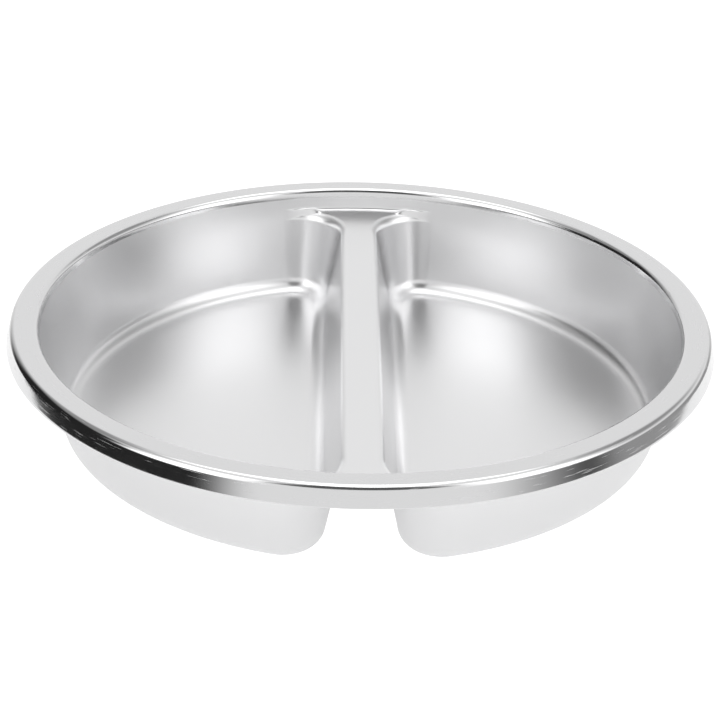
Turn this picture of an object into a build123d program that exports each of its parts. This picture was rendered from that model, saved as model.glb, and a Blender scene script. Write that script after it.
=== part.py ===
from build123d import *

import os
from math import cos, radians, sin, tan

# Round two-compartment food pan for a chafing dish, pressed from one sheet of stainless steel.
#
# The real pan is a single deep drawing. Its sheet is written here as regions that meet face to face: the
# turned-down rim edge, the flat rim flange, the wall above the divider, the divider's top, and for each of
# the two D-shaped compartments its flat bottom, the bend at the foot of its wall and the wall itself.
#
# The origin is under the middle of the pan, at the level of its two bottoms. +Z is up, +Y runs along the
# divider and +X across it. Lengths are in millimetres and angles in degrees.

# The sheet and the pan's overall size
sheet = 0.8
rim_diameter = 387.0
pan_height = 62.0

# The rim, measured on its upper side
rim_edge_height = 10.7
rim_edge_lean = 15.0
rim_bend = 4.0
flange_inner_radius = 179.5

# The compartments, measured on their food side
draft = 11.5
floor_bend = 10.0

# The divider, measured on its food side at the level of its flat top
divider_drop = 12.6
divider_half_width = 10.5
compartment_corner = 29.0
divider_bend = 3.5

# Where the named regions meet
wall_seam_drop = 5.0
compartment_seam_drop = 3.0
divider_seam_inset = 5.0
bottom_seam_inset = 1.0

# Slopes, levels and radii that follow from the sizes above
wall_slope = tan(radians(draft))
wall_secant = 1 / cos(radians(draft))
edge_slope = tan(radians(rim_edge_lean))
floor_level = sheet
land_level = pan_height - divider_drop
wall_seam_level = pan_height - wall_seam_drop
compartment_seam_level = land_level - compartment_seam_drop
bend_level = pan_height - rim_bend
edge_foot_level = pan_height - rim_edge_height
edge_bend_level = bend_level + rim_bend * sin(radians(rim_edge_lean))
edge_run = (edge_bend_level - edge_foot_level) * edge_slope
flange_outer_radius = rim_diameter / 2 - edge_run - rim_bend * cos(radians(rim_edge_lean))
wall_top_radius = flange_inner_radius - rim_bend * cos(radians(draft))
wall_top_level = bend_level + rim_bend * sin(radians(draft))
land_radius = wall_top_radius - (wall_top_level - land_level) * wall_slope
divider_end_radius = land_radius - divider_seam_inset
floor_bend_level = floor_level + floor_bend * (1 - sin(radians(draft)))
floor_bend_inset = (land_level - floor_bend_level) * wall_slope + floor_bend * cos(radians(draft))

os.makedirs("parts", exist_ok=True)


def widening(level, growth):
    """How far a drafted wall stands outside its food-side place at the level of the divider's top."""
    return growth * wall_secant + (level - land_level) * wall_slope


def compartment_outline(level, wider):
    """Both D-shaped compartments in plan, at a level and wider or narrower than at the divider's top."""
    with BuildSketch(Plane.XY.offset(level)) as outline:
        Circle(land_radius + wider)
        Rectangle(2 * (divider_half_width - wider), rim_diameter, mode=Mode.SUBTRACT)
        fillet(outline.vertices(), radius=compartment_corner + wider)
    return outline.sketch


def compartment_volume(place, growth):
    """Room in one compartment up to its seam; place is 0 for the left one and 1 for the right one."""
    wider = widening(compartment_seam_level, growth)
    outline = compartment_outline(compartment_seam_level, wider)
    depth = compartment_seam_level - floor_level + growth
    with BuildPart() as volume:
        extrude(outline.faces().sort_by(Axis.X)[place], amount=-depth, taper=draft)
        fillet(volume.faces().sort_by(Axis.Z)[0].edges(), radius=floor_bend + growth)
    return volume.part


def divider_bar(growth):
    """The divider as a solid bar from the compartments' seam up, with rounded and flared upper edges."""
    top = land_level - growth
    depth = top - compartment_seam_level
    with BuildPart() as bar:
        with BuildSketch(Plane.XY.offset(top)):
            Circle(rim_diameter / 2)
        extrude(amount=-depth)
        outline = compartment_outline(top, widening(top, growth))
        extrude(outline, amount=-depth, taper=draft, mode=Mode.SUBTRACT)
        mouth = bar.faces().sort_by(Axis.Z)[-1].inner_wires().edges()
        fillet(mouth, radius=divider_bend - growth)
    return bar.part


def bowl_volume(growth):
    """Room above the compartments' seam, over the divider and up to the rim's seam."""
    low = land_radius + widening(compartment_seam_level, growth)
    high = land_radius + widening(wall_seam_level, growth)
    with BuildPart() as volume:
        with BuildSketch(Plane.XZ):
            with BuildLine():
                Polyline(
                    (0, compartment_seam_level),
                    (low, compartment_seam_level),
                    (high, wall_seam_level),
                    (0, wall_seam_level),
                    close=True,
                )
            make_face()
        revolve(axis=Axis.Z)
        add(divider_bar(growth), mode=Mode.SUBTRACT)
    return volume.part


def rim_profile():
    """Section of the rim's sheet, from the top of the wall over the flange and down the turned edge."""
    wall_corner_radius = wall_top_radius + (pan_height - wall_top_level) * wall_slope
    edge_corner_radius = rim_diameter / 2 - rim_edge_height * edge_slope
    with BuildSketch() as profile:
        with BuildLine():
            FilletPolyline(
                (land_radius, land_level),
                (wall_corner_radius, pan_height),
                (edge_corner_radius, pan_height),
                (rim_diameter / 2, edge_foot_level),
                radius=rim_bend,
            )
            offset(amount=sheet, side=Side.RIGHT)
        make_face()
    return profile.sketch


# The sheet between the two seams: the wall all round and the divider's top across it
with BuildPart() as band:
    add(bowl_volume(sheet))
    add(bowl_volume(0), mode=Mode.SUBTRACT)

# Rim edge: the bend at the outside of the rim and the skirt below it
with BuildPart() as rim_edge:
    with BuildSketch(Plane.XZ):
        add(rim_profile())
        with Locations((flange_outer_radius, 0)):
            Rectangle(rim_diameter, pan_height, align=Align.MIN, mode=Mode.INTERSECT)
    revolve(axis=Axis.Z)
rim_edge.part.label = "rim_edge"
export_step(rim_edge.part, "parts/rim_edge.step")

# Rim flange: the flat ring that the pan hangs by, with the bend into the wall
with BuildPart() as rim_flange:
    with BuildSketch(Plane.XZ):
        add(rim_profile())
        with Locations((flange_outer_radius, wall_seam_level)):
            Rectangle(
                rim_diameter / 2,
                wall_seam_drop,
                align=(Align.MAX, Align.MIN),
                mode=Mode.INTERSECT,
            )
    revolve(axis=Axis.Z)
rim_flange.part.label = "rim_flange"
export_step(rim_flange.part, "parts/rim_flange.step")

# Upper wall: the wall above and beside the divider, with a short shelf that meets each end of the divider
with BuildPart() as upper_wall:
    add(band.part)
    with BuildSketch(Plane.XY.offset(compartment_seam_level)):
        Circle(divider_end_radius)
    extrude(amount=pan_height, mode=Mode.SUBTRACT)
upper_wall.part.label = "upper_wall"
export_step(upper_wall.part, "parts/upper_wall.step")

# Divider: the flat top of the ridge between the compartments, with its rounded upper edges
with BuildPart() as divider:
    add(band.part)
    with BuildSketch(Plane.XY.offset(compartment_seam_level)):
        Circle(divider_end_radius)
    extrude(amount=pan_height, mode=Mode.INTERSECT)
divider.part.label = "divider"
export_step(divider.part, "parts/divider.step")

# Compartments: two D-shaped wells, each with a flat bottom and a drafted wall that is rounded into it
for place, side in enumerate(("left", "right")):
    with BuildPart() as bottom:
        outline = compartment_outline(0, -floor_bend_inset - bottom_seam_inset)
        extrude(outline.faces().sort_by(Axis.X)[place], amount=sheet)
    bottom.part.label = side + "_bottom"
    export_step(bottom.part, "parts/" + side + "_bottom.step")

    with BuildPart() as well:
        add(compartment_volume(place, sheet))
        add(compartment_volume(place, 0), mode=Mode.SUBTRACT)
        add(bottom.part, mode=Mode.SUBTRACT)

    # The bend at the foot of the wall and the drafted wall over it, each in a front and a back half
    for region, above in (("bend", Keep.BOTTOM), ("wall", Keep.TOP)):
        for half, before in (("front", Keep.TOP), ("back", Keep.BOTTOM)):
            label = side + "_" + region + "_" + half
            with BuildPart() as quarter:
                add(well.part)
                split(bisect_by=Plane.XZ, keep=before)
                split(bisect_by=Plane.XY.offset(floor_bend_level), keep=above)
            quarter.part.label = label
            export_step(quarter.part, "parts/" + label + ".step")
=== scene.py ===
"""Looks of a round two-compartment steel food pan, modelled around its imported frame.

The pan is one pressed sheet. Each class below shapes one named region of that sheet, and the regions meet
edge to edge, so that the surface reads as continuous. Lengths are in metres: +Z is up, +Y runs along the
divider and +X across it, and the origin is under the middle of the pan.
"""

import logging
from bisect import bisect_left
from dataclasses import dataclass, field
from enum import Enum
from math import atan2, copysign, cos, hypot, pi, radians, sin, sqrt, tan

import bmesh
import bpy
from mathutils import Matrix, Vector


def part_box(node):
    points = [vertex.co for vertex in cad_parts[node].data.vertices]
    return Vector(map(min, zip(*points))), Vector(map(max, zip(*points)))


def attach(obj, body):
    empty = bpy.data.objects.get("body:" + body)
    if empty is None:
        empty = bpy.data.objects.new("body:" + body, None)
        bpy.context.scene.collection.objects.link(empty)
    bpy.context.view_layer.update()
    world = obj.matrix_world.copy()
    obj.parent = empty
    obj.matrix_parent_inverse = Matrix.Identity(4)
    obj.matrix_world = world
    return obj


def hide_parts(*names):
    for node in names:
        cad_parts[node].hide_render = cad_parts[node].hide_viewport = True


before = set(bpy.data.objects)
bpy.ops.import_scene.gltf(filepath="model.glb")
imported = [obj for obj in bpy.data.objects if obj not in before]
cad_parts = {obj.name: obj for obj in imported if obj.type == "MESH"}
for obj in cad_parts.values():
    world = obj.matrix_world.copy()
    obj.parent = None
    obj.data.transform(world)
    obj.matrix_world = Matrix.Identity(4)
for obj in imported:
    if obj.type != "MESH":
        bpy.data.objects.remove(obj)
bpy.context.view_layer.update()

LOG = logging.getLogger("food_pan")
SHARP_ANGLE = radians(35)
# A length in metres that is too small to see
CLOSE = 1e-6
WHITE = (1.0, 1.0, 1.0, 1.0)

Pair = tuple[float, float]
Triple = tuple[float, float, float]


def between(start: float, stop: float, steps: int) -> list[float]:
    """Evenly spaced numbers.

    Args:
        start: The first number.
        stop: The last number.
        steps: How many gaps there are between them.

    Returns:
        steps + 1 numbers, both ends included.
    """
    return [start + (stop - start) * step / steps for step in range(steps + 1)]


def arc(centre: Pair, radius: float, start: float, stop: float, steps: int) -> list[Pair]:
    """Points along an arc of a section.

    Args:
        centre: The arc's centre.
        radius: The arc's radius.
        start: Angle of the first point, in radians.
        stop: Angle of the last point, in radians.
        steps: How many chords make the arc.

    Returns:
        steps + 1 points.
    """
    angles = between(start, stop, steps)
    return [(centre[0] + radius * cos(angle), centre[1] + radius * sin(angle)) for angle in angles]


def eased(share: float) -> float:
    """A smooth step from 0 to 1 as share goes from 0 to 1, and level beyond both."""
    share = min(1.0, max(0.0, share))
    return share * share * (3.0 - 2.0 * share)


class Buff(Enum):
    """How far a region of the sheet is buffed after pressing."""

    SATIN = "satin_steel"
    POLISHED = "polished_steel"


@dataclass(frozen=True)
class PressedSheet:
    """Sizes of the pressing that its regions share, on the food side unless a name says otherwise.

    The divider's edge grows from divider_bend to flare_bend over one corner radius, and it starts to grow
    flare_starts before the corner. The shelf at a flared end fades into the plain wall where it is
    narrower than shelf_full, and is gone at shelf_starts. seam_lowered is how far the seam between the
    divider and the compartments lies below the frame's own, to leave room for the larger bend.
    """

    rim_radius: float
    height: float
    edge_foot: float
    wall_seam: float
    land: float
    well_seam: float
    divider_half: float
    land_radius: float
    thickness: float
    draft: float = radians(11.5)
    edge_lean: float = radians(15.0)
    rim_bend: float = 0.0040
    floor_bend: float = 0.0100
    divider_bend: float = 0.0035
    flare_bend: float = 0.0065
    end_bend: float = 0.0020
    corner: float = 0.0290
    seam_lowered: float = 0.0030
    flare_starts: float = 0.0060
    shelf_starts: float = 0.0040
    shelf_full: float = 0.0085

    @classmethod
    def from_frame(cls) -> "PressedSheet":
        """Reads the sizes that the frame's own nodes give.

        Returns:
            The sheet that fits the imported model.
        """
        flange_low, flange_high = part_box("rim_flange")
        edge_low, edge_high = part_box("rim_edge")
        wall_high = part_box("upper_wall")[1]
        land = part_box("divider")[1][2]
        well_low, well_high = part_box("right_wall_front")
        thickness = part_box("right_bottom")[1][2]
        through = thickness / cos(cls.draft)
        return cls(
            rim_radius=edge_high[0],
            height=flange_high[2],
            edge_foot=edge_low[2] + thickness * sin(cls.edge_lean),
            wall_seam=flange_low[2],
            land=land,
            well_seam=well_high[2] - cls.seam_lowered,
            divider_half=well_low[0] + through - (land - well_high[2]) * tan(cls.draft),
            land_radius=wall_high[0] - through - (flange_low[2] - land) * tan(cls.draft),
            thickness=thickness,
        )

    @property
    def slope(self) -> float:
        """Run of the drafted wall for each unit of height."""
        return tan(self.draft)

    @property
    def corner_centre(self) -> Pair:
        """Centre of a compartment's rounded corner in plan, in the first quadrant."""
        across = self.divider_half + self.corner
        return across, sqrt((self.land_radius - self.corner) ** 2 - across**2)

    @property
    def corner_end(self) -> float:
        """Angle at which the rounded corner runs into the round wall."""
        across, along = self.corner_centre
        return atan2(along, across)

    def inset(self, level: float) -> float:
        """How far a compartment's wall stands inside its outline at the divider's top."""
        return (self.land - level) * self.slope

    def bend_height(self, run: float, radius: float) -> float:
        """Height of a rounded corner between a flat and the drafted wall.

        Args:
            run: Distance in plan beyond the line where the flat and the wall would meet.
            radius: Radius of the corner.

        Returns:
            Height above the flat.
        """
        reach = radius * tan((pi / 2 - self.draft) / 2)
        if run <= -reach:
            return 0.0
        if run >= reach * sin(self.draft):
            return run / self.slope
        return radius - sqrt(radius**2 - (run + reach) ** 2)

    def outside_well(self, x: float, y: float) -> float:
        """Distance in plan outside a compartment's outline at the divider's top.

        Args:
            x: Distance from the divider's middle line.
            y: Distance along the divider from its middle.

        Returns:
            The distance, which is negative inside the outline.
        """
        across, along = self.corner_centre
        if x <= across and y <= along:
            return self.divider_half - x
        if atan2(y - along, x - across) >= self.corner_end:
            return hypot(x - across, y - along) - self.corner
        return hypot(x, y) - self.land_radius

    def edge_bend(self, y: float) -> float:
        """Radius of the divider's rounded edge, which grows where the divider flares.

        Args:
            y: Distance along the divider from its middle.

        Returns:
            The radius.
        """
        along = self.corner_centre[1]
        growth = eased((y - along + self.flare_starts) / self.corner)
        return self.divider_bend + (self.flare_bend - self.divider_bend) * growth

    def surface_height(self, x: float, y: float) -> float:
        """Height of the food side where the divider, its flared ends and the wall run together.

        The shelf at a flared end narrows to nothing, and there the bend above it and the bend below it
        fade into the plain wall.

        Args:
            x: Distance from the divider's middle line.
            y: Distance along the divider from its middle.

        Returns:
            The level of the sheet at that point.
        """
        into_wall = hypot(x, y) - self.land_radius
        off_well = self.outside_well(x, y)
        edge_bend = self.edge_bend(y)
        stepped = self.bend_height(into_wall, self.end_bend) - self.bend_height(-off_well, edge_bend)
        run = (off_well + into_wall) / 2
        narrowed = self.bend_height(run, self.end_bend) - self.bend_height(-run, edge_bend)
        shelf = (off_well - into_wall - self.shelf_starts) / (self.shelf_full - self.shelf_starts)
        return self.land + stepped - (narrowed - run / self.slope) * (1.0 - eased(shelf))

    def surface_normal(self, x: float, y: float) -> Vector:
        """Direction square to the food side of the divider or the wall above it.

        Args:
            x: The point's place across the divider.
            y: Its place along the divider.

        Returns:
            A vector of unit length that points up out of the sheet.
        """
        side, end = copysign(1.0, x), copysign(1.0, y)
        x, y = abs(x), abs(y)
        across = self.surface_height(x + CLOSE, y) - self.surface_height(x - CLOSE, y)
        along = self.surface_height(x, y + CLOSE) - self.surface_height(x, y - CLOSE)
        return Vector((-side * across, -end * along, 2 * CLOSE)).normalized()


@dataclass(frozen=True)
class Stations:
    """How finely the outline of one quarter of a compartment is divided."""

    straight: int = 28
    flare: int = 26
    blend: int = 44
    round_wall: int = 72
    blend_start: float = radians(120)

    def flare_angles(self) -> list[float]:
        """Angles around the corner from the straight side to the start of the blend."""
        return between(pi, self.blend_start, self.flare)

    def blend_angles(self, sheet: PressedSheet) -> list[float]:
        """Angles around the corner from the start of the blend to the round wall."""
        return between(self.blend_start, sheet.corner_end, self.blend)

    def quarter(self, sheet: PressedSheet, inset: float) -> list[Pair]:
        """One quarter of the right compartment's outline, from the divider's middle to the +X side.

        Args:
            sheet: The pressing's sizes.
            inset: How far inside the outline at the divider's top the points lie.

        Returns:
            Points in plan.
        """
        centre = sheet.corner_centre
        side = [(sheet.divider_half + inset, y) for y in between(0, centre[1], self.straight)]
        angles = self.flare_angles()[1:] + self.blend_angles(sheet)[1:]
        radius = sheet.corner - inset
        turn = [(centre[0] + radius * cos(a), centre[1] + radius * sin(a)) for a in angles]
        wall = arc((0, 0), sheet.land_radius - inset, sheet.corner_end, 0, self.round_wall)[1:]
        return side + turn + wall

    def outline(self, sheet: PressedSheet, inset: float) -> list[Pair]:
        """The right compartment's whole outline, as a closed loop of points in plan."""
        quarter = self.quarter(sheet, inset)
        return quarter + [(x, -y) for x, y in reversed(quarter[1:-1])]


class Loft:
    """A mesh that grows by extruding a row of edges from one station to the next."""

    def __init__(self) -> None:
        """Starts an empty mesh whose vertices remember their place in the row."""
        self.mesh = bmesh.new()
        self.place = self.mesh.verts.layers.int.new("place")

    def row(self, points: list[Vector], closed: bool) -> list[bmesh.types.BMEdge]:
        """Lays the first row of vertices and joins them with edges.

        Args:
            points: Where the vertices go.
            closed: Whether the last one is joined to the first.

        Returns:
            The row's edges.
        """
        verts = [self.mesh.verts.new(point) for point in points]
        for number, vert in enumerate(verts):
            vert[self.place] = number
        pairs = list(zip(verts, verts[1:]))
        if closed:
            pairs.append((verts[-1], verts[0]))
        return [self.mesh.edges.new(pair) for pair in pairs]

    def extrude(self, edges: list[bmesh.types.BMEdge], points: list[Vector]) -> list[bmesh.types.BMEdge]:
        """Extrudes a row of edges and puts each new vertex where its place in the row says.

        Args:
            edges: The row to extrude.
            points: Where the new row's vertices go.

        Returns:
            The new row's edges.
        """
        made = bmesh.ops.extrude_edge_only(self.mesh, edges=edges)["geom"]
        for vert in (item for item in made if isinstance(item, bmesh.types.BMVert)):
            vert.co = points[vert[self.place]]
        return [item for item in made if isinstance(item, bmesh.types.BMEdge)]

    def through(self, rows: list[list[Vector]], closed: bool = False) -> None:
        """Extrudes through every row in turn.

        Args:
            rows: Rows with the same number of points.
            closed: Whether each row is a loop.
        """
        edges = self.row(rows[0], closed)
        for points in rows[1:]:
            edges = self.extrude(edges, points)

    def mirror(self, axis: str) -> None:
        """Copies the mesh across the middle of the pan and joins the halves."""
        everything = self.mesh.verts[:] + self.mesh.edges[:] + self.mesh.faces[:]
        bmesh.ops.mirror(self.mesh, geom=everything, matrix=Matrix.Identity(4), merge_dist=CLOSE, axis=axis)


def as_object(mesh: bmesh.types.BMesh, name: str) -> bpy.types.Object:
    """Turns a finished bmesh into an object in the scene.

    Args:
        mesh: The bmesh, which is freed.
        name: The object's name.

    Returns:
        The object.
    """
    data = bpy.data.meshes.new(name)
    mesh.to_mesh(data)
    mesh.free()
    made = bpy.data.objects.new(name, data)
    bpy.context.scene.collection.objects.link(made)
    return made


def finish_mesh(mesh: bmesh.types.BMesh, name: str) -> bpy.types.Object:
    """Closes a mesh, smooths its bends, keeps its cut edges sharp and makes it an object.

    Args:
        mesh: The closed shell.
        name: The object's name.

    Returns:
        The object, in the scene.
    """
    bmesh.ops.remove_doubles(mesh, verts=mesh.verts[:], dist=CLOSE)
    bmesh.ops.recalc_face_normals(mesh, faces=mesh.faces[:])
    if mesh.calc_volume(signed=True) < 0:
        bmesh.ops.reverse_faces(mesh, faces=mesh.faces[:])
    for face in mesh.faces:
        face.smooth = True
    for edge in mesh.edges:
        edge.smooth = edge.is_manifold and edge.calc_face_angle() < SHARP_ANGLE
    return as_object(mesh, name)


@dataclass
class Region:
    """One named region of the sheet, and the frame nodes and material slot that it stands for."""

    sheet: PressedSheet
    stations: Stations
    name: str
    nodes: tuple[str, ...]
    buff: Buff

    def build(self) -> bpy.types.Object:
        """Makes the region's mesh."""
        raise NotImplementedError

    def place(self, finish: bpy.types.Material) -> bpy.types.Object:
        """Builds the region, dresses it and ties it to the frame.

        Args:
            finish: The region's material.

        Returns:
            The finished piece.
        """
        piece = self.build()
        piece.data.materials.append(finish)
        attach(piece, "root")
        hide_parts(*self.nodes)
        LOG.info("%s: %d faces, stands for %s", self.name, len(piece.data.polygons), ", ".join(self.nodes))
        return piece


@dataclass
class Rim(Region):
    """A ring of the rim, turned from its section."""

    turns: int = 360
    bend_steps: int = 14
    flat_steps: int = 4
    seam_margin: float = 0.0004

    @property
    def flat_inside(self) -> float:
        """Radius at which the flat of the rim begins."""
        sheet = self.sheet
        level = sheet.height - sheet.rim_bend * (1 - sin(sheet.draft))
        return sheet.land_radius + (level - sheet.land) * sheet.slope + sheet.rim_bend * cos(sheet.draft)

    @property
    def flat_outside(self) -> float:
        """Radius at which the flat of the rim ends."""
        sheet = self.sheet
        level = sheet.height - sheet.rim_bend * (1 - sin(sheet.edge_lean))
        run = (level - sheet.edge_foot) * tan(sheet.edge_lean)
        return sheet.rim_radius - run - sheet.rim_bend * cos(sheet.edge_lean)

    @property
    def seam_radius(self) -> float:
        """Radius at which the two rings meet, just inside the outer bend."""
        return self.flat_outside - self.seam_margin

    def section(self) -> list[Pair]:
        """The ring's closed section, as radius and height."""
        raise NotImplementedError

    def build(self) -> bpy.types.Object:
        """Spins the section once around the pan.

        Returns:
            The ring.
        """
        mesh = bmesh.new()
        verts = [mesh.verts.new((radius, 0, level)) for radius, level in self.section()]
        edges = [mesh.edges.new(pair) for pair in zip(verts, verts[1:] + verts[:1])]
        bmesh.ops.spin(
            mesh,
            geom=verts + edges,
            cent=(0, 0, 0),
            axis=(0, 0, 1),
            angle=2 * pi,
            steps=self.turns,
            use_merge=True,
        )
        return finish_mesh(mesh, self.name)


@dataclass
class RimFlange(Rim):
    """The flat ring that the pan hangs by, and the bend from it into the wall."""

    def section(self) -> list[Pair]:
        """The flat, the bend and the head of the wall, over and under.

        Returns:
            The section's corners in order.
        """
        sheet = self.sheet
        centre = (self.flat_inside, sheet.height - sheet.rim_bend)
        seam = sheet.land_radius + (sheet.wall_seam - sheet.land) * sheet.slope
        through = (sheet.thickness * cos(sheet.draft), sheet.thickness * sin(sheet.draft))
        over = [(seam, sheet.wall_seam)]
        over += arc(centre, sheet.rim_bend, pi - sheet.draft, pi / 2, self.bend_steps)
        flat = between(self.flat_inside, self.seam_radius, self.flat_steps)[1:]
        over += [(radius, sheet.height) for radius in flat]
        under = [(radius, sheet.height - sheet.thickness) for radius in reversed(flat)]
        under += arc(centre, sheet.rim_bend - sheet.thickness, pi / 2, pi - sheet.draft, self.bend_steps)
        return over + under + [(seam + through[0], sheet.wall_seam - through[1])]


@dataclass
class RimEdge(Rim):
    """The bend at the outside of the rim, and the skirt that stiffens it."""

    skirt_steps: int = 6
    lip_steps: int = 6

    def section(self) -> list[Pair]:
        """The outer bend and the skirt, over and under, with the cut lip rounded off.

        Returns:
            The section's corners in order.
        """
        sheet = self.sheet
        centre = (self.flat_outside, sheet.height - sheet.rim_bend)
        half = sheet.thickness / 2
        down = Vector((sin(sheet.edge_lean), -cos(sheet.edge_lean)))
        out = Vector((cos(sheet.edge_lean), sin(sheet.edge_lean)))
        foot = Vector((sheet.rim_radius, sheet.edge_foot))
        over = [(self.seam_radius, sheet.height)]
        over += arc(centre, sheet.rim_bend, pi / 2, sheet.edge_lean, self.bend_steps)
        head = Vector(over[-1])
        lip_top = foot - down * half
        for part in between(0, 1, self.skirt_steps)[1:]:
            over.append(tuple(head.lerp(lip_top, part)))
        lip_centre = lip_top - out * half
        lip = [
            tuple(lip_centre + out * half * cos(angle) + down * half * sin(angle))
            for angle in between(0, pi, self.lip_steps)[1:]
        ]
        under_head = head - out * sheet.thickness
        lip_under = Vector(lip[-1])
        under = [tuple(lip_under.lerp(under_head, part)) for part in between(0, 1, self.skirt_steps)[1:-1]]
        under += arc(centre, sheet.rim_bend - sheet.thickness, sheet.edge_lean, pi / 2, self.bend_steps)
        under.append((self.seam_radius, sheet.height - sheet.thickness))
        return over + lip + under


@dataclass
class Well(Region):
    """A piece of one D-shaped compartment."""

    turned: bool = False
    flat_margin: float = 0.0010

    @property
    def bend_centre(self) -> Pair:
        """Centre of the bend at the wall's foot, as inset and level."""
        sheet = self.sheet
        level = sheet.thickness + sheet.floor_bend
        bend_top = level - sheet.floor_bend * sin(sheet.draft)
        return sheet.inset(bend_top) + sheet.floor_bend * cos(sheet.draft), level

    def ring(self, inset: float, level: float) -> list[Vector]:
        """The compartment's outline at an inset and a level."""
        side = -1 if self.turned else 1
        return [Vector((side * x, y, level)) for x, y in self.stations.outline(self.sheet, inset)]


@dataclass
class WellFloor(Well):
    """The flat bottom of a compartment."""

    def build(self) -> bpy.types.Object:
        """Fills the outline and pulls it down by the sheet's thickness.

        Returns:
            The bottom.
        """
        inset = self.bend_centre[0] + self.flat_margin
        loft = Loft()
        edges = loft.row(self.ring(inset, self.sheet.thickness), closed=True)
        bmesh.ops.edgeloop_fill(loft.mesh, edges=edges)
        edges = loft.extrude(edges, self.ring(inset, 0.0))
        bmesh.ops.edgeloop_fill(loft.mesh, edges=edges)
        return finish_mesh(loft.mesh, self.name)


@dataclass
class WellWall(Well):
    """The drafted wall of a compartment and the bend into its bottom."""

    bend_steps: int = 20
    wall_steps: int = 6

    def section(self, thickness: float) -> list[Pair]:
        """One side of the wall's section, from the bottom up to the seam, as inset and level.

        Args:
            thickness: Nothing for the food side, or the sheet's thickness for the outside.

        Returns:
            The section's points, from the bottom up.
        """
        sheet = self.sheet
        centre = self.bend_centre
        radius = sheet.floor_bend + thickness
        bend = arc(centre, radius, -pi / 2, -pi + sheet.draft, self.bend_steps)
        seam = Vector((
            sheet.inset(sheet.well_seam) - thickness * cos(sheet.draft),
            sheet.well_seam - thickness * sin(sheet.draft),
        ))
        head = Vector(bend[-1])
        wall = [tuple(head.lerp(seam, part)) for part in between(0, 1, self.wall_steps)[1:]]
        return [(centre[0] + self.flat_margin, centre[1] - radius)] + bend + wall

    def build(self) -> bpy.types.Object:
        """Draws the outline up the inside and down the outside, and back to where it began.

        Returns:
            The wall.
        """
        rings = self.section(0.0) + self.section(self.sheet.thickness)[::-1]
        loft = Loft()
        loft.through([self.ring(inset, level) for inset, level in rings + rings[:1]], closed=True)
        return finish_mesh(loft.mesh, self.name)


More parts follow.
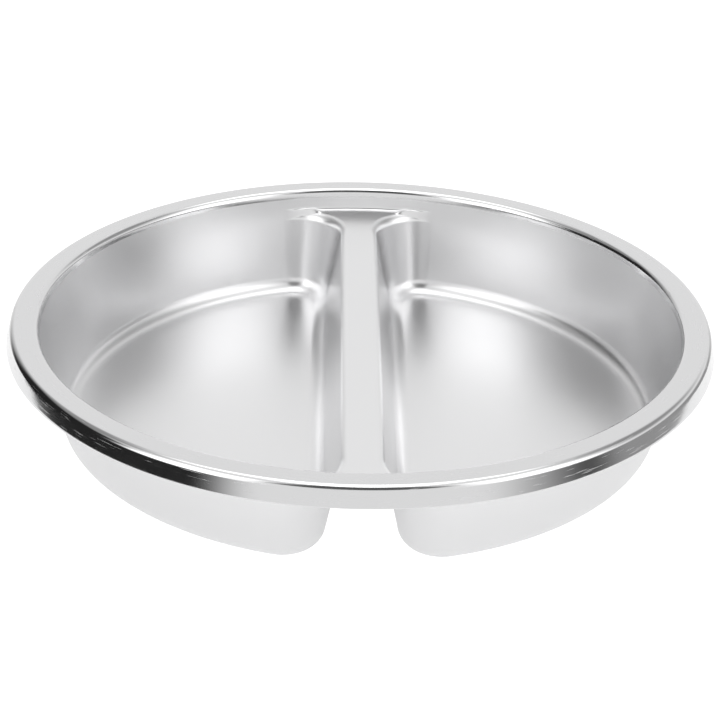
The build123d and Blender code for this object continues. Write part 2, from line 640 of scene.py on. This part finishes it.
@dataclass
class Ridge(Region):
    """Shared by the divider's top and the wall above it, which run into each other at the flared ends."""

    samples: int = 400
    rows: int = 56
    flat_margin: float = 0.0004
    profile: list[float] = field(init=False)
    flat_row: int = field(init=False)

    def __post_init__(self) -> None:
        """Finds the row at which the divider's rounded edge has become its flat top."""
        start, stop = self.span(self.stations.blend_start)
        self.profile = self.spaced(start, stop)
        reach = self.sheet.flare_bend * tan((pi / 2 - self.sheet.draft) / 2)
        flat_run = self.seam_run + reach + self.flat_margin
        self.flat_row = bisect_left(self.profile, flat_run)

    @property
    def seam_run(self) -> float:
        """How far inside a compartment's outline its seam lies, in plan."""
        return self.sheet.inset(self.sheet.well_seam)

    @property
    def head_radius(self) -> float:
        """Radius of the round wall at the rim's seam."""
        return self.sheet.land_radius - self.sheet.inset(self.sheet.wall_seam)

    def span(self, angle: float) -> tuple[Vector, Vector]:
        """The line in plan that crosses the shelf at an angle of the compartment's corner.

        Args:
            angle: Angle around the corner's centre.

        Returns:
            The line's ends, at the compartment's seam and at the rim's seam.
        """
        centre = Vector(self.sheet.corner_centre)
        way = Vector((cos(angle), sin(angle)))
        start = centre + way * (self.sheet.corner - self.seam_run)
        ahead = start.dot(way)
        return start, start + way * (sqrt(ahead**2 + self.head_radius**2 - start.length_squared) - ahead)

    def spaced(self, start: Vector, stop: Vector) -> list[float]:
        """Distances along a line in plan that space its points evenly over the surface.

        Args:
            start: One end of the line.
            stop: The other end.

        Returns:
            rows + 1 distances from start.
        """
        reach = (stop - start).length
        runs = between(0, reach, self.samples)
        points = [start.lerp(stop, run / reach) for run in runs]
        levels = [self.sheet.surface_height(*point) for point in points]
        travelled = [0.0]
        for step in range(self.samples):
            rise = levels[step + 1] - levels[step]
            travelled.append(travelled[-1] + hypot(runs[step + 1] - runs[step], rise))
        spaced = [0.0]
        for target in between(0, travelled[-1], self.rows)[1:-1]:
            upper = bisect_left(travelled, target)
            share = (target - travelled[upper - 1]) / (travelled[upper] - travelled[upper - 1])
            spaced.append(runs[upper - 1] + share * (runs[upper] - runs[upper - 1]))
        return spaced + [reach]

    def lifted(self, x: float, y: float) -> Vector:
        """The point of the food side above a point in plan."""
        return Vector((x, y, self.sheet.surface_height(x, y)))

    def crossing(self, angle: float) -> list[Vector]:
        """Points of the surface across the shelf, from the compartment's seam to the rim's seam.

        Args:
            angle: Angle around the corner's centre.

        Returns:
            rows + 1 points.
        """
        start, stop = self.span(angle)
        way = (stop - start).normalized()
        return [self.lifted(*(start + way * run)) for run in self.spaced(start, stop)]

    def end_rows(self) -> list[list[Vector]]:
        """Rows of the divider's end, from the middle line to the start of the blend.

        Returns:
            Rows of points that run from the flat top up to the rim's seam.
        """
        first = self.crossing(self.stations.blend_start)[self.flat_row :]
        rows = []
        for share in between(1, 0, self.stations.flare // 2):
            row = []
            for point in first:
                angle = atan2(point.y, point.x)
                angle += (pi / 2 - angle) * share
                radius = hypot(point.x, point.y)
                row.append(self.lifted(radius * cos(angle), radius * sin(angle)))
            rows.append(row)
        return rows

    def finish_sheet(self, loft: Loft) -> bpy.types.Object:
        """Mirrors a quarter, gives the sheet its thickness and shades it as one surface with its neighbours.

        Args:
            loft: The first quarter of the food side.

        Returns:
            The finished region.
        """
        loft.mirror("X")
        loft.mirror("Y")
        mesh = loft.mesh
        bmesh.ops.remove_doubles(mesh, verts=mesh.verts[:], dist=CLOSE)
        bmesh.ops.recalc_face_normals(mesh, faces=mesh.faces[:])
        if sum(face.normal.z * face.calc_area() for face in mesh.faces) < 0:
            bmesh.ops.reverse_faces(mesh, faces=mesh.faces[:])
        normals = {vert: self.sheet.surface_normal(vert.co.x, vert.co.y) for vert in mesh.verts}
        over = set(mesh.faces)
        copied = bmesh.ops.duplicate(mesh, geom=mesh.faces[:])
        twins = copied["vert_map"]
        under = [item for item in copied["geom"] if isinstance(item, bmesh.types.BMFace)]
        for vert, normal in list(normals.items()):
            twin = twins[vert]
            twin.co = vert.co - normal * self.sheet.thickness
            normals[twin] = -normal
        bmesh.ops.reverse_faces(mesh, faces=under)
        for edge in [edge for edge in mesh.edges if edge.is_boundary and edge.link_faces[0] in over]:
            first, second = edge.verts
            if edge.link_loops[0].vert is first:
                first, second = second, first
            mesh.faces.new((first, second, twins[second], twins[first]))
        broad = over | set(under)
        automatic = Vector((0, 0, 0))
        chosen = []
        for face in mesh.faces:
            face.smooth = True
            chosen += [normals[loop.vert] if face in broad else automatic for loop in face.loops]
        for edge in mesh.edges:
            edge.smooth = edge.calc_face_angle() < SHARP_ANGLE
        made = as_object(mesh, self.name)
        made.data.normals_split_custom_set(chosen)
        return made


@dataclass
class UpperWall(Ridge):
    """The wall above the compartments, with the short shelves that carry the divider's ends."""

    def build(self) -> bpy.types.Object:
        """Sweeps the wall from the divider's end, over the flared shelf and round to the side.

        Returns:
            The wall.
        """
        sheet = self.sheet
        loft = Loft()
        loft.through(self.end_rows())
        rows = [self.crossing(angle) for angle in self.stations.blend_angles(sheet)]
        foot = sheet.land_radius - self.seam_run
        radii = [foot + run for run in self.spaced(*self.span(sheet.corner_end))]
        for angle in between(sheet.corner_end, 0, self.stations.round_wall)[1:]:
            rows.append([self.lifted(radius * cos(angle), radius * sin(angle)) for radius in radii])
        loft.through(rows)
        return self.finish_sheet(loft)


@dataclass
class DividerTop(Ridge):
    """The flat top of the divider and its rounded edges, which flare towards the wall."""

    def build(self) -> bpy.types.Object:
        """Sweeps the rounded edge along the divider and fills the flat beside it.

        Returns:
            The divider's top.
        """
        sheet = self.sheet
        centre = sheet.corner_centre
        runs = self.profile[: self.flat_row + 1]
        side = sheet.divider_half + self.seam_run
        ways = between(0, centre[1], self.stations.straight)
        rows = [[self.lifted(side - run, y) for run in runs] for y in ways]
        for angle in self.stations.flare_angles()[1:]:
            radii = [sheet.corner - self.seam_run + run for run in runs]
            points = [(centre[0] + radius * cos(angle), centre[1] + radius * sin(angle)) for radius in radii]
            rows.append([self.lifted(*point) for point in points])
        loft = Loft()
        loft.through(rows)
        border = [self.lifted(0, 0)] + [row[-1] for row in rows]
        border += [row[0] for row in reversed(self.end_rows()[:-1])]
        bmesh.ops.edgeloop_fill(loft.mesh, edges=loft.row(border, closed=True))
        return self.finish_sheet(loft)


def feed(socket: bpy.types.NodeSocket, value: bpy.types.NodeSocket | float) -> None:
    """Links a socket to another one, or sets it to a number."""
    if isinstance(value, bpy.types.NodeSocket):
        socket.id_data.links.new(value, socket)
    else:
        socket.default_value = value


def calculate(
    tree: bpy.types.NodeTree, operation: str, *values: bpy.types.NodeSocket | float
) -> bpy.types.NodeSocket:
    """Adds a Math node.

    Args:
        tree: The tree or group to add it to.
        operation: The Math node's operation.
        values: Sockets or numbers to work on.

    Returns:
        The node's output.
    """
    node = tree.nodes.new("ShaderNodeMath")
    node.operation = operation
    for socket, value in zip(node.inputs, values):
        feed(socket, value)
    return node.outputs["Value"]


@dataclass
class SurfaceEffects:
    """Shader node groups that the steel finishes share.

    Pattern scales are in cycles for each metre, and each range is the stretch of the noise that counts.
    """

    rim_radius: float
    wave_scale: Triple = (11.0, 11.0, 11.0)
    cloud_scale: Triple = (60.0, 60.0, 60.0)
    cloud_detail: float = 4.0
    cloud_range: Pair = (0.35, 0.70)
    hair_scale: Triple = (60.0, 1300.0, 1300.0)
    hair_detail: float = 2.0
    hair_range: Pair = (0.57, 0.74)
    waves: bpy.types.NodeTree = field(init=False)
    handling: bpy.types.NodeTree = field(init=False)

    def __post_init__(self) -> None:
        """Builds both groups."""
        self.waves = self.build_waves()
        self.handling = self.build_handling()

    @staticmethod
    def begin(name: str, inputs: tuple[str, ...], output: str) -> bpy.types.NodeTree:
        """Starts a group with its sockets.

        Args:
            name: The group's name.
            inputs: Names of its inputs.
            output: Name of its output.

        Returns:
            The group, which holds only its input and output nodes.
        """
        group = bpy.data.node_groups.new(name, "ShaderNodeTree")
        for socket in inputs:
            group.interface.new_socket(socket, in_out="INPUT", socket_type="NodeSocketFloat")
        group.interface.new_socket(output, in_out="OUTPUT", socket_type="NodeSocketFloat")
        group.nodes.new("NodeGroupInput")
        group.nodes.new("NodeGroupOutput")
        return group

    @staticmethod
    def noise(place: bpy.types.NodeSocket, scale: Triple, detail: float) -> bpy.types.NodeSocket:
        """Adds a noise texture to a group.

        Args:
            place: The coordinates that the pattern follows, in metres.
            scale: Scale of the pattern along each axis.
            detail: The noise's detail.

        Returns:
            The noise, from 0 to 1.
        """
        group = place.id_data
        mapping = group.nodes.new("ShaderNodeMapping")
        mapping.inputs["Scale"].default_value = scale
        texture = group.nodes.new("ShaderNodeTexNoise")
        texture.inputs["Scale"].default_value = 1.0
        texture.inputs["Detail"].default_value = detail
        group.links.new(place, mapping.inputs["Vector"])
        group.links.new(mapping.outputs["Vector"], texture.inputs["Vector"])
        return texture.outputs["Fac"]

    @staticmethod
    def counted(value: bpy.types.NodeSocket, counts: Pair) -> bpy.types.Node:
        """Adds a Map Range node to a group.

        Args:
            value: The value to map.
            counts: The stretch of it that is mapped.

        Returns:
            The node, which maps the stretch to 0 and 1 unless its other inputs say otherwise.
        """
        group = value.id_data
        node = group.nodes.new("ShaderNodeMapRange")
        node.inputs["From Min"].default_value, node.inputs["From Max"].default_value = counts
        group.links.new(value, node.inputs["Value"])
        return node

    def around(self, place: bpy.types.NodeSocket) -> bpy.types.NodeSocket:
        """Turns plain coordinates into ones that run round the pan.

        Args:
            place: Plain coordinates.

        Returns:
            Way round at the rim in metres, distance from the middle, and height.
        """
        group = place.id_data
        parts = group.nodes.new("ShaderNodeSeparateXYZ")
        group.links.new(place, parts.inputs["Vector"])
        across, along, up = parts.outputs
        turn = calculate(group, "ARCTAN2", along, across)
        squares = [calculate(group, "MULTIPLY", way, way) for way in (across, along)]
        radius = calculate(group, "SQRT", calculate(group, "ADD", *squares))
        joined = group.nodes.new("ShaderNodeCombineXYZ")
        group.links.new(calculate(group, "MULTIPLY", turn, self.rim_radius), joined.inputs["X"])
        group.links.new(radius, joined.inputs["Y"])
        group.links.new(up, joined.inputs["Z"])
        return joined.outputs["Vector"]

    def build_waves(self) -> bpy.types.NodeTree:
        """Slow waves that pressing leaves in the sheet.

        Returns:
            A group with a Height in metres.
        """
        group = self.begin("pressing_waves", ("Depth",), "Height")
        given = group.nodes["Group Input"]
        place = group.nodes.new("ShaderNodeTexCoord").outputs["Object"]
        waves = self.noise(place, self.wave_scale, detail=0.0)
        height = calculate(group, "MULTIPLY", waves, given.outputs["Depth"])
        group.links.new(height, group.nodes["Group Output"].inputs["Height"])
        return group

    def build_handling(self) -> bpy.types.NodeTree:
        """Dull clouds, and hairline scratches that run round the pan.

        Returns:
            A group with a Roughness that changes over the surface.
        """
        group = self.begin("handling_marks", ("Smooth", "Rough", "Scratched"), "Roughness")
        given = group.nodes["Group Input"]
        place = group.nodes.new("ShaderNodeTexCoord").outputs["Object"]
        clouds = self.counted(self.noise(place, self.cloud_scale, self.cloud_detail), self.cloud_range)
        group.links.new(given.outputs["Smooth"], clouds.inputs["To Min"])
        group.links.new(given.outputs["Rough"], clouds.inputs["To Max"])
        ringed = self.around(place)
        hairs = self.counted(self.noise(ringed, self.hair_scale, self.hair_detail), self.hair_range)
        group.links.new(given.outputs["Scratched"], hairs.inputs["To Max"])
        total = calculate(group, "MAXIMUM", clouds.outputs["Result"], hairs.outputs["Result"])
        group.links.new(total, group.nodes["Group Output"].inputs["Roughness"])
        return group


@dataclass(frozen=True)
class SteelFinish:
    """One finish of the steel.

    smooth and rough are the least and the most roughness of the bare surface, scratched is the roughness
    of its scratches, and wave_depth is in metres.
    """

    buff: Buff
    colour: Triple
    smooth: float
    rough: float
    scratched: float
    wave_depth: float

    @staticmethod
    def effect(
        tree: bpy.types.NodeTree, group: bpy.types.NodeTree, values: dict[str, float]
    ) -> bpy.types.Node:
        """Places a shared group in a material.

        Args:
            tree: The material's nodes.
            group: The shared group.
            values: What its inputs are set to.

        Returns:
            The group's node.
        """
        node = tree.nodes.new("ShaderNodeGroup")
        node.node_tree = group
        for socket, value in values.items():
            node.inputs[socket].default_value = value
        return node

    def material(self, effects: SurfaceEffects) -> bpy.types.Material:
        """Makes the finish's material.

        Args:
            effects: The shared node groups.

        Returns:
            The material.
        """
        made = bpy.data.materials.new(self.buff.value)
        made.use_nodes = True
        tree = made.node_tree
        shader = tree.nodes["Principled BSDF"]
        shader.inputs["Base Color"].default_value = (*self.colour, 1.0)
        shader.inputs["Metallic"].default_value = 1.0
        values = {"Smooth": self.smooth, "Rough": self.rough, "Scratched": self.scratched}
        marks = self.effect(tree, effects.handling, values)
        tree.links.new(marks.outputs["Roughness"], shader.inputs["Roughness"])
        waves = self.effect(tree, effects.waves, {"Depth": self.wave_depth})
        bump = tree.nodes.new("ShaderNodeBump")
        bump.inputs["Distance"].default_value = 1.0
        tree.links.new(waves.outputs["Height"], bump.inputs["Height"])
        tree.links.new(bump.outputs["Normal"], shader.inputs["Normal"])
        return made


@dataclass(frozen=True)
class Glow:
    """A soft-edged patch of the room as the steel mirrors it, in degrees.

    level is how bright it is. Azimuth 0 is the front, where the viewer stands, and 90 is the right-hand
    side. low and high are heights over the horizon.
    """

    level: float
    azimuth: float
    half_width: float
    low: float
    high: float
    soft_side: float = 12.0
    soft_edge: float = 6.0


@dataclass(frozen=True)
class Room:
    """The room around the table: even pale light with soft bright and dark patches."""

    level: float
    glows: tuple[Glow, ...]
    backdrop: float = 1.0

    def build(self) -> bpy.types.World:
        """Paints the patches over the even light, and leaves the backdrop plain for the camera.

        Returns:
            The world.
        """
        world = bpy.data.worlds.new("studio")
        world.use_nodes = True
        tree = world.node_tree
        direction = tree.nodes.new("ShaderNodeTexCoord")
        parts = tree.nodes.new("ShaderNodeSeparateXYZ")
        tree.links.new(direction.outputs["Generated"], parts.inputs["Vector"])
        across, along, up = parts.outputs
        rise = calculate(tree, "ARCSINE", up)
        total = self.level
        for glow in self.glows:
            swing = self.swing(across, along, radians(glow.azimuth))
            side = self.ramp(swing, glow.half_width + glow.soft_side, glow.half_width - glow.soft_side)
            foot = self.ramp(rise, glow.low - glow.soft_edge, glow.low + glow.soft_edge)
            head = self.ramp(rise, glow.high + glow.soft_edge, glow.high - glow.soft_edge)
            mask = calculate(tree, "MULTIPLY", side, calculate(tree, "MULTIPLY", foot, head))
            total = self.painted(total, glow.level, mask)
        seen = tree.nodes.new("ShaderNodeLightPath").outputs["Is Camera Ray"]
        background = tree.nodes["Background"]
        background.inputs["Color"].default_value = WHITE
        tree.links.new(self.painted(total, self.backdrop, seen), background.inputs["Strength"])
        return world

    @staticmethod
    def painted(
        under: bpy.types.NodeSocket | float, level: float, mask: bpy.types.NodeSocket
    ) -> bpy.types.NodeSocket:
        """Puts one brightness over another where a mask is 1.

        Args:
            under: The brightness so far.
            level: The brightness to put over it.
            mask: Where it goes.

        Returns:
            The brightness of both together.
        """
        blend = mask.id_data.nodes.new("ShaderNodeMix")
        feed(blend.inputs["Factor"], mask)
        feed(blend.inputs["A"], under)
        feed(blend.inputs["B"], level)
        return blend.outputs["Result"]

    @staticmethod
    def swing(across: bpy.types.NodeSocket, along: bpy.types.NodeSocket, turn: float) -> bpy.types.NodeSocket:
        """Measures how far a direction is turned away from a patch's azimuth, either way.

        Args:
            across: The direction's part along +X.
            along: The direction's part along +Y.
            turn: The azimuth, in radians.

        Returns:
            The angle between them in plan, in radians.
        """
        tree = across.id_data
        ahead_parts = ((across, sin(turn)), (along, -cos(turn)))
        aside_parts = ((across, cos(turn)), (along, sin(turn)))
        ahead = calculate(tree, "ADD", *(calculate(tree, "MULTIPLY", *part) for part in ahead_parts))
        aside = calculate(tree, "ADD", *(calculate(tree, "MULTIPLY", *part) for part in aside_parts))
        return calculate(tree, "ABSOLUTE", calculate(tree, "ARCTAN2", aside, ahead))

    @staticmethod
    def ramp(value: bpy.types.NodeSocket, start: float, stop: float) -> bpy.types.NodeSocket:
        """Adds a smooth step from 0 at one angle to 1 at another.

        Args:
            value: The angle, in radians.
            start: Degrees at which the step is 0.
            stop: Degrees at which the step is 1.

        Returns:
            The step's output.
        """
        node = value.id_data.nodes.new("ShaderNodeMapRange")
        node.interpolation_type = "SMOOTHSTEP"
        low, high = sorted((start, stop))
        node.inputs["From Min"].default_value = radians(low)
        node.inputs["From Max"].default_value = radians(high)
        node.inputs["To Min"].default_value = 0.0 if start < stop else 1.0
        node.inputs["To Max"].default_value = 1.0 if start < stop else 0.0
        value.id_data.links.new(value, node.inputs["Value"])
        return node.outputs["Result"]


@dataclass
class Studio:
    """The two pale surfaces that the pan stands on, the room around them and the camera.

    The steel mirrors the table and the camera doesn't see it. The camera sees the floor and the steel
    doesn't mirror it. Camera angles are in degrees.
    """

    table_radius: float = 0.36
    table_level: float = -0.0002
    floor_radius: float = 6.0
    floor_level: float = -0.0004
    tone: float = 0.5
    matt: float = 0.9
    table_glow: float = 0.62
    floor_glow: float = 0.72
    outline_steps: int = 96
    focus: Triple = (0.0, 0.0, 0.062)
    lens: float = 100.0
    sensor: float = 36.0
    near: float = 0.05
    distance: float = 1.1011
    elevation: float = 25.529
    azimuth: float = -1.069
    look_down: float = 1.429
    roll: float = 1.318
    room: Room = Room(
        level=0.95,
        glows=(
            Glow(0.35, 118.0, 24.0, 24.0, 56.0, soft_side=14.0, soft_edge=10.0),
            Glow(0.34, -118.0, 28.0, 0.0, 56.0, soft_side=14.0, soft_edge=10.0),
            Glow(1.9, 58.0, 20.0, 11.0, 54.0, soft_side=10.0, soft_edge=5.0),
            Glow(2.1, -56.0, 19.0, 11.0, 54.0, soft_side=9.0, soft_edge=5.0),
            Glow(2.4, 180.0, 181.0, 78.0, 96.0, soft_side=1.0),
            Glow(2.4, 180.0, 60.0, 62.0, 96.0, soft_side=14.0),
            Glow(0.10, 0.0, 32.0, 38.0, 76.0, soft_side=8.0, soft_edge=4.0),
            Glow(0.02, -90.0, 50.0, -40.0, 7.0, soft_side=11.0, soft_edge=4.0),
            Glow(0.02, -106.0, 28.0, -40.0, 32.0, soft_side=8.0, soft_edge=6.0),
            Glow(0.36, 96.0, 48.0, -40.0, 8.0, soft_side=14.0, soft_edge=5.0),
            Glow(0.10, 71.0, 8.0, -40.0, 6.0, soft_side=8.0, soft_edge=5.0),
        ),
    )

    def lay(self, name: str, radius: float, level: float, glow: float, reflected: bool) -> None:
        """Lays a round plain surface.

        Args:
            name: Its name.
            radius: Its radius.
            level: Its height.
            glow: How much light it gives off by itself.
            reflected: Whether the steel mirrors it and the camera doesn't see it, or the other way round.
        """
        mesh = bmesh.new()
        bmesh.ops.create_circle(mesh, cap_ends=True, segments=self.outline_steps, radius=radius)
        bmesh.ops.translate(mesh, vec=(0, 0, level), verts=mesh.verts[:])
        made = as_object(mesh, name)
        made.visible_glossy = reflected
        made.visible_camera = not reflected
        material = bpy.data.materials.new(name)
        material.use_nodes = True
        shader = material.node_tree.nodes["Principled BSDF"]
        shader.inputs["Base Color"].default_value = (self.tone, self.tone, self.tone, 1.0)
        shader.inputs["Roughness"].default_value = self.matt
        shader.inputs["Specular IOR Level"].default_value = 0.0
        shader.inputs["Emission Color"].default_value = WHITE
        shader.inputs["Emission Strength"].default_value = glow
        made.data.materials.append(material)

    def set_camera(self) -> None:
        """Stands the camera in front of the pan, looking down into it."""
        rise, swing = radians(self.elevation), radians(self.azimuth)
        away = Vector((sin(swing) * cos(rise), -cos(swing) * cos(rise), sin(rise)))
        turn = (
            Matrix.Rotation(swing, 4, "Z")
            @ Matrix.Rotation(pi / 2 - rise, 4, "X")
            @ Matrix.Rotation(-radians(self.look_down), 4, "X")
            @ Matrix.Rotation(radians(self.roll), 4, "Z")
        )
        data = bpy.data.cameras.new("camera")
        data.lens = self.lens
        data.sensor_width = self.sensor
        data.clip_start = self.near
        camera = bpy.data.objects.new("camera", data)
        camera.matrix_world = Matrix.Translation(Vector(self.focus) + away * self.distance) @ turn
        bpy.context.scene.collection.objects.link(camera)
        bpy.context.scene.camera = camera

    def build(self) -> None:
        """Sets up everything around the pan."""
        self.lay("table", self.table_radius, self.table_level, self.table_glow, reflected=True)
        self.lay("floor", self.floor_radius, self.floor_level, self.floor_glow, reflected=False)
        bpy.context.scene.world = self.room.build()
        self.set_camera()
        bpy.context.scene.view_settings.view_transform = "Standard"


def build_pan() -> None:
    """Builds every region of the pan in its finish."""
    sheet = PressedSheet.from_frame()
    stations = Stations()
    effects = SurfaceEffects(sheet.rim_radius)
    finishes = {
        finish.buff: finish.material(effects)
        for finish in (
            SteelFinish(
                Buff.POLISHED,
                colour=(0.72, 0.72, 0.725),
                smooth=0.10,
                rough=0.13,
                scratched=0.42,
                wave_depth=0.0003,
            ),
            SteelFinish(
                Buff.SATIN,
                colour=(0.79, 0.79, 0.795),
                smooth=0.285,
                rough=0.305,
                scratched=0.30,
                wave_depth=0.0004,
            ),
        )
    }
    regions = [
        RimEdge(sheet, stations, "turned_edge", ("rim_edge",), Buff.POLISHED),
        RimFlange(sheet, stations, "flange_ring", ("rim_flange",), Buff.POLISHED),
        UpperWall(sheet, stations, "bowl_wall", ("upper_wall",), Buff.SATIN),
        DividerTop(sheet, stations, "divider_top", ("divider",), Buff.SATIN),
    ]
    halves = ("wall_front", "wall_back", "bend_front", "bend_back")
    for side, turned in (("left", True), ("right", False)):
        walls = tuple(side + "_" + half for half in halves)
        regions.append(WellWall(sheet, stations, side + "_well", walls, Buff.SATIN, turned))
        regions.append(WellFloor(sheet, stations, side + "_floor", (side + "_bottom",), Buff.SATIN, turned))
    for region in regions:
        region.place(finishes[region.buff])


def main() -> None:
    """Builds the pan, then the studio around it."""
    logging.basicConfig(level=logging.INFO, format="%(name)s: %(message)s")
    build_pan()
    Studio().build()


if __name__ == "__main__":
    main()
